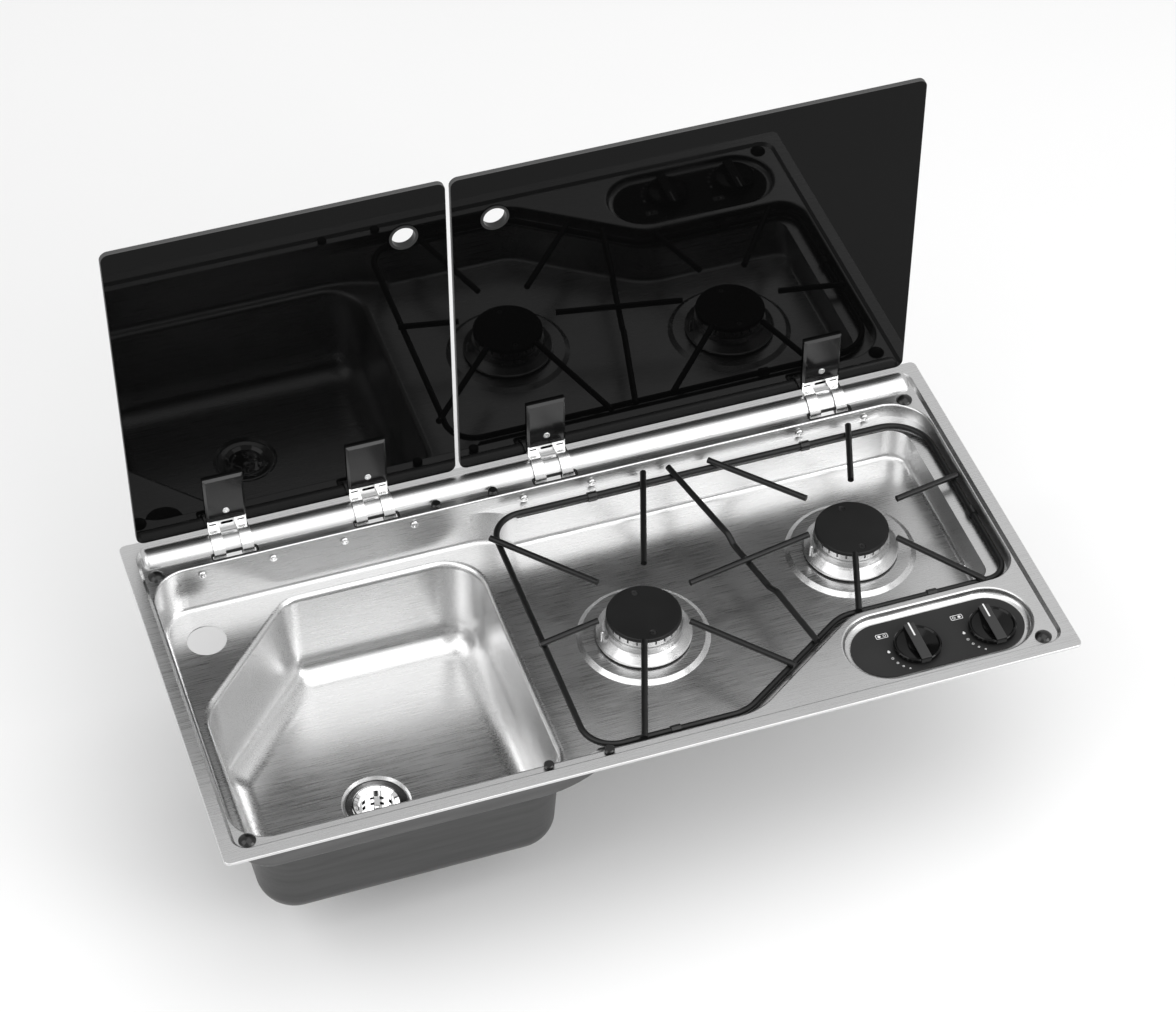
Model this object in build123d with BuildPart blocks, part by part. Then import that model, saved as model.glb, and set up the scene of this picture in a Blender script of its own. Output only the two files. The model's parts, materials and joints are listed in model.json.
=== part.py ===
"""Combined caravan hob and sink with two hinged glass lids. Millimetres, +Z up, +X right.

The origin is the centre of the rim, in the plane of the worktop that the rim rests on.
The front edge faces -Y and the lids stand up along the back edge.
"""

from build123d import *

import math
import os

# ---------------------------------------------------------------- driving dimensions
# Clearances
running_gap = 0.3  # between pieces that move past each other
hole_clearance = 0.2  # around a screw or a collar in its hole
thread_clearance = 0.05  # between a thread and what it screws into
shaft_clearance = 0.06  # around a spindle in its bore

# Rim and pressed deck
rim_width = 800.0  # left to right
rim_depth = 400.0  # front to back
rim_height = 2.5  # top of the rim above the worktop
rim_land = 11.5  # flat of the rim at the sides
rim_land_front = 12.0
rim_land_back = 9.5
rim_corner = 6.0
rim_edge_round = 0.8
sheet = 1.0  # thickness of the pressed steel
tray_level = -0.5  # inner deck, just under the rim
tray_corner = 15.0
press_round = 1.8  # rounding where the tray turns down into the recess
draft = 5.71  # slope of the pressed walls, degrees

# Recess that holds the sink and the hob
recess_inset_side = 16.5  # from the rim's edge to the top of the wall
recess_inset_back = 46.2
recess_inset_front = 22.2
control_inset = 105.0  # front edge of the recess beside the controls, from the rim's front edge
recess_corner = 35.0
recess_corner_hob = 40.0  # back corner on the hob side
recess_corner_control = 28.0  # corner beside the controls
diagonal_start = 95.3  # where the front edge turns to the diagonal
diagonal_end = 215.9
diagonal_round = 60.0
diagonal_hollow = 40.0
floor_level = -50.0  # sink ledge and hob floor
foot_round = 5.0  # rounding at the foot of the recess walls
shelf_level = -14.5  # shelf that carries the pan support
shelf_width = 21.0  # at the back and the right, tray edge to the inner edge of the shelf
shelf_width_front = 15.0
shelf_lean_front = 10.0  # how far the wall under the front shelf leans inwards
well_corner = 14.0
well_corner_back = 22.0
sink_end_back = -35.0  # right end of the deep recess of the sink, at the back wall
sink_end_front = 95.0
sink_blend_back = 55.0
sink_blend_front = 140.0
hob_left = -120.0  # the hob recess runs out into the sink recess here

# Hinge line, and the bead that hides the pins
pivot_inset = 21.0  # from the rim's back edge
pivot_depth = 5.9  # under the tray
bead_radius = 15.2
bead_end_gap = 2.5
bead_end_round = 6.0

# Hinges
hinge_x = (-298.0, -161.0, 15.5, 295.5)
slot_length = 45.0
slot_width = 9.6
slot_reach = 18.3  # from the hinge line forward to the middle of the slot
slot_corner = 3.0
liner_wall = 1.2
liner_rise = 0.6  # above the tray
liner_height = 2.7
arm_gap = 1.3  # between the bead and the arms
arm_sheet = 1.5
arm_width = 11.0
arm_offset = 13.5
arm_start = 80.0  # degrees about the pin, where the arm leaves the leaf
arm_end = 199.0
arm_foot = 8.0  # degrees of arm that the web holds
pin_radius = 2.5
pin_head_radius = 3.8
pin_head = 1.2
barrel_radius = 4.5
barrel_half = 20.0
ear_gap = 0.5
ear_sheet = 2.0
ear_radius = 5.0
bracket_half = 42.0
bracket_top = -3.0
bracket_bottom = -18.0
wall_screw_spacing = 68.0
wall_screw_level = -10.0
wall_screw = 2.0
wall_screw_head = 3.8
wall_screw_head_height = 2.2
wall_screw_length = 8.0
leaf_sheet = 1.5
leaf_half = 18.5
leaf_neck_half = 16.0  # the leaf is narrower inside its cover
leaf_rise = 16.0  # bottom of the leaf above the pin
leaf_height = 59.4
window_rise = 6.0  # slotted windows above the bottom of the leaf
window_height = 3.2
window_length = 12.0
side_window_height = 1.6
side_window_length = 7.0
cover_depth = 4.4
cover_half = 19.0
cover_rise = 11.2  # bottom of the cover above the bottom of the leaf
cover_height = 53.2
cover_chamfer = 2.2
cover_screw_rise = 22.9
cover_screw = 2.0
cover_screw_head = 3.3
cover_screw_sunk = 0.7
cover_screw_head_height = 1.4
pad_thickness = 1.5
pad_rise = 14.4

# Glass lids, upright at rest
glass_thickness = 5.0
glass_rise = 15.55  # bottom edge above the pin
glass_front_inset = 10.1  # closed, from the rim's front edge
glass_side_inset = 16.7
glass_corner = 8.0
glass_bevel = 0.5
lid_split = (-74.0, -69.6)  # where the left lid ends and the right lid starts
finger_hole_x = (-114.0, -29.4)
finger_hole_drop = 51.5  # under the top edge
grommet_inner = 10.8
grommet_hole = 12.2
grommet_outer = 13.4
grommet_flange = 1.1

# Rubber bumpers under the lids
bumper_height = 4.8
bumper_radius = 7.75
bumper_skirt = 0.8  # upright edge under the dome
bumper_stem = 2.5
bumper_barb = 0.8  # how far a barb stands out past its stem
bumper_stem_length = 4.5
bumper_inset_back = 46.1  # middle of the bumper, from the rim's back edge
bumper_inset_front = 23.0
bumper_inset_left = 25.3
bumper_inset_right = 29.0
stop_x = (-103.0, -47.0)
stop_inset_back = 40.5
stop_inset_front = 18.8
stop_radius = 4.7
stop_bevel = 0.9
stop_barb = 0.6
stop_stem = 1.3
stop_foot = 2.8
stop_foot_height = 1.4

# Sink bowl
bowl_left = -364.7
bowl_right = -77.0
bowl_front = -161.5
bowl_back = 132.5
bowl_cut_x = -259.6  # where the cut corner meets the back wall
bowl_cut_y = 19.8  # where the cut corner meets the left wall
bowl_corner = 40.0
bowl_cut_corner = 45.0
bowl_cut_corner_back = 25.0
bowl_lip = 6.0  # rounded lip between the ledge and the bowl wall
bowl_seam = 0.3  # flat of the lip where it meets the ledge
bowl_depth = 99.2  # ledge to the inside of the bottom
bowl_bottom_round = 28.0
bowl_draft = 4.0
tap_hole_x = -342.6
tap_hole_y = 107.2
tap_hole = 18.5

# Drain and waste
drain_x = -229.0
drain_y = -50.0
drain_radius = 29.15
drain_seat_depth = 3.0
drain_flange_rise = 1.6
drain_tube = 21.5
drain_tube_wall = 1.5
drain_tube_length = 22.0
gasket_thickness = 2.0
strainer_depth = 15.8  # mirror plate of the strainer under the seat
strainer_sheet = 1.0
strainer_rim = 22.2
strainer_post = 3.3
strainer_post_height = 14.0
strainer_slots = 12
strainer_slot = 4.0
strainer_slot_rise = 5.0  # middle of the slots above the plate
waste_nut_radius = 29.0
waste_nut_height = 8.0
waste_nut_lugs = 12
waste_nut_lug = 1.6
waste_wall = 4.0
throat_drop = 12.0  # the waste narrows to its spigot over this height
outlet_radius = 16.0
outlet_wall = 2.5
outlet_length = 27.8

# Rim seal and worktop clamps
seal_width = 7.5
seal_width_back = 4.4
seal_corner = 10.0
clamp_width = 18.0
clamp_sheet = 1.5
clamp_reach = 16.0  # how far the clamp's tongue reaches under the worktop
clamp_level = -31.0
clamp_strap = 14.0  # strap below the tongue
clamp_strap_top = 10.0  # strap above the tongue
clamp_lip = 3.0
clamp_setback = 3.0  # the drafted walls lean in this much under the tray, the upright one not
stud = 2.0
stud_drop = 7.0  # stud under the tongue
stud_length = 6.0
stud_play = 0.7
nut_radius = 3.6
nut_height = 3.0

# Burners
burner_x = (43.0, 265.7)
burner_y = (-16.5, 24.8)
ring_foot = 62.7  # radius where the raised ring starts
ring_top = 57.7
ring_rise = 3.0
cup_radius = 37.0
cup_gap = 6.4  # between the cup and the edge of the deck's hole
cup_depth = 22.0  # under the hob floor
cup_foot = 24.0  # radius of the cup's bottom
cup_chamfer = 12.0
cup_inlet = 6.0
seal_thickness = 1.6
seal_height = 2.3
spreader_radius = 34.0
spreader_bore = 22.0
spreader_rise = 13.3  # seat of the spreader above the skirt's edge
spreader_height = 8.4
port_count = 24
port_width = 1.6
port_height = 4.6
port_depth = 7.0
cap_radius = 35.2
cap_thickness = 4.4
cap_screw_place = 26.2
cap_screw = 1.5
cap_screw_head = 2.7
cap_screw_sunk = 0.7
cap_screw_length = 9.0
countersink_angle = 82.0
probe_radius = 2.0  # flame sensor
probe_gap = 2.0  # between the probe and the cup
probe_y = -2.0
probe_rise = 21.5  # tip above the hob floor
probe_drop = 28.0
lug_drop = 7.0
lug_thickness = 3.0
lug_radius = 4.5
injector_radius = 8.0
injector_height = 10.0
jet_radius = 3.0
boss_radius = 4.5
boss_reach = 16.0

# Controls
control_x = (232.0, 333.5)
control_y_inset = 58.5  # middle of the control pocket, from the rim's front edge
pocket_radius = 39.5
pocket_depth = 7.5  # under the tray
pocket_foot = 5.5
panel_inset = 7.0
panel_thickness = 1.5
knob_x = (259.7, 333.5)
knob_inset = 52.3  # knob axis, from the rim's front edge
knob_radius = 22.0
knob_height = 4.8
knob_dish = 3.0  # how deep the top is dished
knob_bar = 2.4  # how far the grip bar stands over the edge
bar_width = 10.8
bar_length = 44.6
bar_taper = 4.0
knob_push = 2.0
washer_thickness = 1.0
collar_radius = 7.8  # collar of a gas tap, through the floor of the pocket
shaft_radius = 4.0
shaft_length = 24.5
shaft_grip = 2.7  # how far the spindle stands in the knob
tap_drop = 13.0  # middle of the tap body under the pocket's floor
tap_half_width = 13.0
tap_half_depth = 17.0
tap_half_height = 10.0
tap_corner = 3.0

# Gas pipes
rail_radius = 5.0
rail_gap = 2.8
rail_overhang = 15.0
pipe_radius = 3.0
pipe_bend = 12.0
pipe_drop = 5.0  # burner pipes under the bottom of the cups
pipe_start = 22.0
pipe_end = 30.0
inlet_radius = 4.0
inlet_inset = 26.0  # from the rim's right edge
inlet_drop = 29.0  # under the taps, so that the pipe passes below the worktop clamps
inlet_length = 134.5
inlet_nut_radius = 8.0
inlet_nut_length = 12.0
inlet_tail = 10.0
inlet_drop_start = 35.0
inlet_drop_end = 65.0
inlet_bend = 14.0
inlet_bend_drop = 20.0

# Pan support
rod_radius = 3.0
loop_rise = 4.5  # middle of the loop's rod above the shelf
finger_drop = 3.7  # middle of the fingers' rods under the tray
loop_left = -59.5
loop_gap_right = 6.5  # loop to the recess, at the tray
loop_gap_back = 18.8
loop_gap_front = 10.3
loop_gap_control = 8.7
loop_bend_front = 87.5
loop_bend_back = 208.9
finger_tip = 49.0  # radius of the finger tips around a burner
left_fingers = ((71.0, 9.8), (131.6, 10.5), (190.8, 5.1), (250.9, 6.0), (311.2, 5.0))  # angle, overhang
right_fingers = ((70.3, 7.6), (131.8, 6.6), (250.9, 4.3), (306.4, 5.5), (10.0, 3.6))
bar_dip = ((146.3, 41.0), (148.5, 31.0), (160.9, -31.0), (163.2, -43.5))  # dips between the middle two
bar_turn_back = 102.7  # angle of the cross bar behind the dip, and in front of it
bar_turn_front = -79.6
bar_overhang_back = 8.3
bar_overhang_front = 4.9
bar_bend = 8.0
loop_round = 30.0
loop_round_diagonal = 40.0
loop_round_control = 20.0
foot_length = 9.0
foot_wall = 1.3
foot_width = 6.4
foot_gap = 0.1
foot_clearance = 0.05

# ---------------------------------------------------------------- derived sizes
rim_side = rim_width / 2
rim_end = rim_depth / 2
tray_side = rim_side - rim_land  # where the rim turns down to the tray
tray_front = rim_end - rim_land_front
tray_back = rim_end - rim_land_back
ramp_height = rim_height - tray_level
ramp_shift = sheet * (math.sqrt(2) - 1)  # the underside of a 45 degree ramp lies further out
recess_side = rim_side - recess_inset_side
recess_back = rim_end - recess_inset_back
recess_front = rim_end - recess_inset_front
control_edge = rim_end - control_inset
diagonal_angle = math.atan2(recess_front - control_edge, diagonal_end - diagonal_start)
pivot_y = rim_end - pivot_inset
pivot_z = tray_level - pivot_depth
bead_half = tray_side - ramp_height - bead_end_gap
slot_middle = pivot_y - slot_reach
pocket_level = tray_level - pocket_depth
control_y = control_y_inset - rim_end
knob_y = knob_inset - rim_end
ring_level = floor_level + ring_rise
burner_hole = cup_radius + cup_gap
bowl_bottom = floor_level - bowl_depth
corner_bumper_places = (
    (bumper_inset_left - rim_side, rim_end - bumper_inset_back),
    (bumper_inset_left - rim_side, bumper_inset_front - rim_end),
    (rim_side - bumper_inset_right, rim_end - bumper_inset_back),
    (rim_side - bumper_inset_right, bumper_inset_front - rim_end),
)
stop_places = [(x, y) for y in (rim_end - stop_inset_back, stop_inset_front - rim_end) for x in stop_x]
sides = ("left", "right")
standing = (Align.CENTER, Align.CENTER, Align.MIN)  # a cylinder that stands on its place
hanging = (Align.CENTER, Align.CENTER, Align.MAX)


# ---------------------------------------------------------------- shapes used by many pieces
def box_outline(x1, x2, y1, y2, radius):
    """A rounded rectangle between four edges."""
    with BuildSketch() as outline:
        with Locations(((x1 + x2) / 2, (y1 + y2) / 2)):
            RectangleRounded(x2 - x1, y2 - y1, radius)
    return outline.sketch


def closed_outline(points, radii):
    """A face inside straight edges with rounded corners."""
    with BuildSketch() as outline:
        with BuildLine():
            FilletPolyline(*points, radius=radii, close=True)
        make_face()
    return outline.sketch


def turned(points, origin):
    """A turned piece from its half profile of (radius, height) points."""
    with BuildPart() as piece:
        with BuildSketch(Plane(origin=origin, x_dir=(1, 0, 0), z_dir=(0, -1, 0))):
            with BuildLine():
                Polyline(*points, close=True)
            make_face()
        revolve(axis=Axis(origin, (0, 0, 1)))
    return piece.part


def rod(start, end, radius):
    """A straight round bar between two points."""
    first, last = Vector(*start), Vector(*end)
    with BuildPart() as bar:
        with BuildSketch(Plane(origin=first, z_dir=last - first)):
            Circle(radius)
        extrude(amount=(last - first).length)
    return bar.part


def bent_rod(points, radii, radius, close=False):
    """A round bar bent along straight runs with rounded corners."""
    with BuildPart() as bar:
        with BuildLine() as route:
            FilletPolyline(*points, radius=radii, close=close)
        path = route.wires()[0]
        with BuildSketch(Plane(origin=path @ 0, z_dir=path % 0)):
            Circle(radius)
        sweep(path=path)
    return bar.part


def pan_head_screw(start, end, radius, head_radius, head_height):
    """A cross-head screw whose head lies before its start point."""
    first, last = Vector(*start), Vector(*end)
    along = (last - first).normalized()
    slot_wide = 0.3 * head_radius
    slot_long = 1.1 * head_radius
    with BuildPart() as screw:
        add(rod(start, end, radius))
        with BuildSketch(Plane(origin=first, z_dir=along * -1)):
            Circle(head_radius)
        extrude(amount=head_height)
        top = screw.faces().sort_by(Axis(first, along))[0]
        fillet(top.edges(), 0.6 * head_height)
        with BuildSketch(Plane(origin=first - along * head_height, z_dir=along)):
            Rectangle(slot_long, slot_wide)
            Rectangle(slot_wide, slot_long)
        extrude(amount=0.5 * head_height, mode=Mode.SUBTRACT)
    return screw.part


def save(builder, name):
    """Label a finished piece and write it to its file."""
    builder.part.label = name
    export_step(builder.part, "parts/" + name + ".step")


os.makedirs("parts", exist_ok=True)


# ---------------------------------------------------------------- deck
def sink_recess_outline(grow):
    """The deep recess around the sink at tray level, grown by some amount."""
    points = (
        (-recess_side - grow, -recess_front - grow),
        (sink_end_front + grow, -recess_front - grow),
        (sink_end_back + grow, recess_back + grow),
        (-recess_side - grow, recess_back + grow),
    )
    corner = recess_corner + grow
    return closed_outline(points, [corner, sink_blend_front + grow, sink_blend_back + grow, corner])


def recess_outline(grow):
    """The whole recess at tray level: sink and hob in one."""
    slide = grow * math.tan(diagonal_angle / 2)
    points = (
        (-recess_side - grow, -recess_front - grow),
        (diagonal_start + slide, -recess_front - grow),
        (diagonal_end + slide, -control_edge - grow),
        (recess_side + grow, -control_edge - grow),
        (recess_side + grow, recess_back + grow),
        (-recess_side - grow, recess_back + grow),
    )
    radii = [
        recess_corner + grow,
        diagonal_round + grow,
        diagonal_hollow - grow,
        recess_corner_control + grow,
        recess_corner_hob + grow,
        recess_corner + grow,
    ]
    return closed_outline(points, radii)


def hob_well_outline(grow, grow_front, extra):
    """The hob floor's walls under the shelf, measured outwards from the edge of the recess."""
    slide = grow_front * math.tan(diagonal_angle / 2)
    points = (
        (hob_left, -recess_front - grow_front),
        (diagonal_start + slide, -recess_front - grow_front),
        (diagonal_end + slide, -control_edge - grow_front),
        (recess_side + grow, -control_edge - grow_front),
        (recess_side + grow, recess_back + grow),
        (hob_left, recess_back + grow),
    )
    radii = [
        0,
        diagonal_round + grow_front,
        diagonal_hollow - grow_front,
        well_corner + extra,
        well_corner_back + extra,
        0,
    ]
    return closed_outline(points, radii)


def turn_edges(part, level):
    """Edges where the tray turns down into the recess and the pocket."""
    margin = 1.5 * sheet
    reach = recess_side + margin
    ramp_foot = -tray_front + ramp_height + sheet / 2
    edges = []
    for edge in part.edges():
        box = edge.bounding_box()
        flat = box.size.Z < 1e-4 and abs(edge.center().Z - level) < 1e-4
        inside = box.min.X > -reach and box.max.X < reach and box.max.Y < recess_back + margin
        if flat and inside and box.min.Y > ramp_foot:
            edges.append(edge)
    return edges


def pressing(extra):
    """One side of the pressed sheet as a solid: the air on it, or with extra the space under it."""
    top = rim_height if extra == 0 else rim_height - sheet
    shift = 0 if extra == 0 else ramp_shift
    side = tray_side + shift
    level = tray_level - extra
    with BuildPart() as solid:
        with BuildSketch(Plane.XY.offset(top)):
            add(box_outline(-side, side, -tray_front - shift, tray_back + shift, tray_corner + shift))
        extrude(amount=level - top, taper=45)
        with BuildSketch(Plane.XY.offset(level)):
            add(recess_outline(extra))
        extrude(amount=-(tray_level - shelf_level), taper=draft)
        with BuildSketch(Plane.XY.offset(level)):
            with Locations((sum(control_x) / 2, control_y)):
                SlotCenterToCenter(control_x[1] - control_x[0], 2 * (pocket_radius + extra))
        extrude(amount=-pocket_depth, taper=draft)
        foot = pocket_level - extra
        fillet(solid.edges().filter_by_position(Axis.Z, foot - 0.01, foot + 0.01), pocket_foot + extra)
        fillet(turn_edges(solid, level), press_round - extra)
        with BuildSketch(Plane.XY.offset(level)):
            add(sink_recess_outline(extra))
        extrude(amount=-(tray_level - floor_level), taper=draft)
        lean = shelf_width_front + shelf_lean_front
        with BuildSketch(Plane.XY.offset(shelf_level - extra / 2)):
            add(hob_well_outline(extra - shelf_width, extra - shelf_width_front, extra))
        with BuildSketch(Plane.XY.offset(floor_level - extra)):
            add(hob_well_outline(extra - shelf_width, extra - lean, extra))
        loft(ruled=True)
        fillet(solid.edges().group_by(Axis.Z)[0], foot_round + extra)
    return solid.part


def bead(inset):
    """The round bead over the hinge line, cut off under the tray; inset gives its hollow."""
    with BuildPart() as solid:
        with Locations((0, pivot_y, pivot_z)):
            Cylinder(bead_radius - inset, 2 * (bead_half - inset), rotation=(0, 90, 0))
        fillet(solid.edges(), bead_end_round)
        if inset == 0:
            split(bisect_by=Plane.XY.offset(tray_level - sheet), keep=Keep.TOP)
    return solid.part


def ring_boss(extra):
    """The raised ring of the hob floor around each burner."""
    with BuildPart() as solid:
        for x, y in zip(burner_x, burner_y):
            with Locations((x, y, floor_level - extra)):
                Cone(ring_foot, ring_top, ring_rise, align=standing)
    return solid.part


def bowl_outline(grow):
    """The sink bowl in plan: a rectangle with one corner cut off for the tap."""
    cut_angle = math.atan2(bowl_back - bowl_cut_y, bowl_cut_x - bowl_left)
    slide_left = grow * math.tan((math.pi / 2 - cut_angle) / 2)
    slide_back = grow * math.tan(cut_angle / 2)
    points = (
        (bowl_left - grow, bowl_front - grow),
        (bowl_right + grow, bowl_front - grow),
        (bowl_right + grow, bowl_back + grow),
        (bowl_cut_x - slide_back, bowl_back + grow),
        (bowl_left - grow, bowl_cut_y + slide_left),
    )
    corner = bowl_corner + grow
    radii = [corner, corner, corner, bowl_cut_corner_back + grow, bowl_cut_corner + grow]
    return closed_outline(points, radii)


with BuildPart() as deck:
    # rim with its edge folded down to the worktop
    with BuildSketch(Plane.XY.offset(rim_height)):
        RectangleRounded(rim_width, rim_depth, rim_corner)
    extrude(amount=-sheet)
    fillet(deck.edges().group_by(Axis.Z)[-1], rim_edge_round)
    with BuildSketch(Plane.XY.offset(rim_height - sheet)):
        RectangleRounded(rim_width, rim_depth, rim_corner)
        offset(amount=-sheet, mode=Mode.SUBTRACT)
    extrude(amount=-(rim_height - sheet))
    # tray, recess and control pocket, pressed in one
    add(pressing(sheet))
    add(pressing(0), mode=Mode.SUBTRACT)
    # bead over the hinge pins
    add(bead(0))
    add(bead(sheet), mode=Mode.SUBTRACT)
    # raised rings around the burners
    add(ring_boss(0))
    add(ring_boss(sheet), mode=Mode.SUBTRACT)
    # openings: bowl, tap, burners, gas taps
    with BuildSketch(Plane.XY.offset(floor_level)):
        add(bowl_outline(bowl_lip + bowl_seam))
    extrude(amount=-2 * sheet, mode=Mode.SUBTRACT)
    with Locations((tap_hole_x, tap_hole_y, floor_level)):
        Hole(tap_hole, 2 * sheet)
    for x, y in zip(burner_x, burner_y):
        with Locations((x, y, ring_level)):
            Hole(burner_hole, 2 * sheet)
    for x in knob_x:
        with Locations((x, knob_y, pocket_level)):
            Hole(collar_radius + hole_clearance, 2 * sheet)
    # slots for the hinge arms, and holes for the screws of the hinge brackets in the back wall
    for x in hinge_x:
        with BuildSketch(Plane.XY.offset(rim_height)):
            with Locations((x, slot_middle)):
                RectangleRounded(slot_length, slot_width, slot_corner)
        extrude(amount=-ramp_height - 2 * sheet, mode=Mode.SUBTRACT)
        for hole_x in (x - wall_screw_spacing / 2, x + wall_screw_spacing / 2):
            start = (hole_x, recess_back - 4 * sheet, wall_screw_level)
            end = (hole_x, recess_back + 4 * sheet, wall_screw_level)
            add(rod(start, end, wall_screw + hole_clearance), mode=Mode.SUBTRACT)
    # holes for the rubber bumpers
    for places, radius in ((corner_bumper_places, bumper_stem), (stop_places, stop_stem)):
        for x, y in places:
            with Locations((x, y, tray_level)):
                Hole(radius, 2 * sheet)
save(deck, "deck")


# ---------------------------------------------------------------- sink bowl
def bowl_pressing(extra):
    """One side of the bowl's sheet, with the air or the space above it."""
    level = floor_level - extra
    with BuildPart() as solid:
        with BuildSketch(Plane.XY.offset(level)):
            add(bowl_outline(2 * bowl_lip))
        extrude(amount=sheet)
        with BuildSketch(Plane.XY.offset(level)):
            add(bowl_outline(extra))
        extrude(amount=-bowl_depth, taper=bowl_draft)
        ledge = solid.faces().filter_by_position(Axis.Z, level - 0.01, level + 0.01)[0]
        fillet(ledge.inner_wires()[0].edges(), bowl_lip - extra)
        fillet(solid.edges().group_by(Axis.Z)[0], bowl_bottom_round + extra)
        # seat of the drain, pressed into the bottom
        narrow = drain_radius + 2 * running_gap
        wide = narrow + drain_seat_depth
        with Locations((drain_x, drain_y, bowl_bottom - extra - drain_seat_depth)):
            Cone(narrow + extra, wide, drain_seat_depth + extra, align=standing)
    return solid.part


seat = bowl_bottom - drain_seat_depth  # top of the drain's seat
under_seat = seat - sheet

with BuildPart() as sink_bowl:
    add(bowl_pressing(sheet))
    add(bowl_pressing(0), mode=Mode.SUBTRACT)
    with BuildSketch(Plane.XY.offset(floor_level)):
        add(bowl_outline(bowl_lip + bowl_seam))
    extrude(amount=-2 * bowl_depth, mode=Mode.INTERSECT)
    with Locations((drain_x, drain_y, seat)):
        Hole(drain_tube + hole_clearance, 2 * sheet)
save(sink_bowl, "sink_bowl")

# ---------------------------------------------------------------- drain and waste
drain_centre = (drain_x, drain_y, 0)
tube_end = seat - drain_tube_length
tube_bore = drain_tube - drain_tube_wall
flange_top = seat + drain_flange_rise

with BuildPart() as drain_flange:
    add(turned(
        [
            (drain_tube, tube_end),
            (drain_tube, seat),
            (drain_radius, seat),
            (drain_radius, flange_top),
            (drain_radius - 1.4, flange_top),
            (strainer_rim + 1.2, flange_top - 0.6),
            (strainer_rim - 0.2, flange_top - 1.0),
            (tube_bore, seat - 1.0),
            (tube_bore, tube_end),
        ],
        drain_centre,
    ))
save(drain_flange, "drain_flange")

cup_wall = tube_bore - running_gap - strainer_sheet  # the strainer's cup, outside
plate = seat - strainer_depth
plate_top = plate + strainer_sheet
with BuildPart() as drain_strainer:
    add(turned(
        [
            (0, plate),
            (cup_wall, plate),
            (cup_wall, seat - 0.4),
            (strainer_rim, seat + 1.1),
            (strainer_rim, seat + 1.1 + strainer_sheet),
            (strainer_rim - 0.8, seat + 1.1 + strainer_sheet),
            (cup_wall - strainer_sheet, seat - 0.2),
            (cup_wall - strainer_sheet, plate_top),
            (0, plate_top),
        ],
        drain_centre,
    ))
    with Locations((drain_x, drain_y, plate_top)):
        Cylinder(strainer_post, strainer_post_height - strainer_post, align=standing)
        with Locations((0, 0, strainer_post_height - strainer_post)):
            Sphere(strainer_post)
    # ring of drain slots in the cup's wall
    with Locations((drain_x, drain_y, plate + strainer_slot_rise)):
        with PolarLocations(cup_wall, strainer_slots):
            Box(strainer_slot, strainer_slot, strainer_slot + strainer_sheet, mode=Mode.SUBTRACT)
save(drain_strainer, "drain_strainer")

with BuildPart() as drain_gasket:
    with Locations((drain_x, drain_y, under_seat)):
        Cylinder(drain_radius + 2 * running_gap, gasket_thickness, align=hanging)
        Hole(drain_tube + hole_clearance)
save(drain_gasket, "drain_gasket")

nut_top = under_seat - gasket_thickness
with BuildPart() as waste_nut:
    # ring nut on the flange's tube, which pulls the flange down on its seat
    with Locations((drain_x, drain_y, nut_top)):
        Cylinder(waste_nut_radius, waste_nut_height, align=hanging)
        with PolarLocations(waste_nut_radius, waste_nut_lugs):
            Cylinder(waste_nut_lug, waste_nut_height, align=hanging)
        Hole(drain_tube + thread_clearance)
save(waste_nut, "waste_nut")

waste_top = nut_top - waste_nut_height - running_gap
throat = tube_end - throat_drop  # where the waste narrows to its spigot
outlet_end = throat - outlet_length
with BuildPart() as waste_body:
    add(turned(
        [
            (drain_tube + thread_clearance, waste_top),
            (drain_tube + waste_wall, waste_top),
            (drain_tube + waste_wall, tube_end - waste_wall),
            (outlet_radius + 2.0, throat),
            (outlet_radius, throat - 0.5),
            (outlet_radius, outlet_end + 2.0),
            (outlet_radius - 1.0, outlet_end),
            (outlet_radius - outlet_wall, outlet_end),
            (outlet_radius - outlet_wall, throat),
            (drain_tube + thread_clearance, tube_end - waste_wall / 2),
        ],
        drain_centre,
    ))
save(waste_body, "waste_body")

# ---------------------------------------------------------------- rim seal and worktop clamps
with BuildPart() as rim_seal:
    with BuildSketch():
        half_x = rim_side - sheet - hole_clearance
        half_y = rim_end - sheet - hole_clearance
        inner_x = half_x - seal_width
        RectangleRounded(2 * half_x, 2 * half_y, rim_corner - sheet)
        add(box_outline(-inner_x, inner_x, seal_width - half_y, half_y - seal_width_back, seal_corner),
            mode=Mode.SUBTRACT)
    extrude(amount=rim_height - sheet)
save(rim_seal, "rim_seal")


def wall_at(level, edge):
    """Outside face of a drafted recess wall at some level."""
    return edge + sheet - (tray_level - sheet - level) * math.tan(math.radians(draft))


def back_wall(level):
    return wall_at(level, recess_back)


def well_wall(level):
    """The wall on the right of the hob, under the shelf, which is the same at every level."""
    return recess_side - shelf_width + sheet


def clamp_profile(wall, reach):
    """A worktop clamp from the side: a strap on the wall and a tongue under the worktop."""
    low = clamp_level - clamp_strap
    high = clamp_level + clamp_strap_top
    bend = clamp_level - clamp_sheet
    tongue = wall(high) + reach
    points = (
        (wall(low), low),
        (wall(low) + clamp_sheet, low),
        (wall(bend) + clamp_sheet, bend),
        (tongue, bend),
        (tongue, clamp_level + clamp_lip),
        (tongue - clamp_sheet, clamp_level + clamp_lip),
        (tongue - clamp_sheet, clamp_level),
        (wall(clamp_level) + clamp_sheet, clamp_level),
        (wall(high) + clamp_sheet, high),
        (wall(high), high),
    )
    with BuildSketch() as profile:
        with BuildLine():
            Polyline(*points, close=True)
        make_face()
    return profile.sketch


def clamp_plane(side, place):
    """Plane across a wall of the recess: local +X points out through the wall and local +Y up."""
    along = {"right": (0, -1, 0), "back": (1, 0, 0)}[side]
    return Plane(origin=Vector(*along) * place, x_dir=Vector(*along).cross(Vector(0, 0, -1)), z_dir=along)


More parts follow.
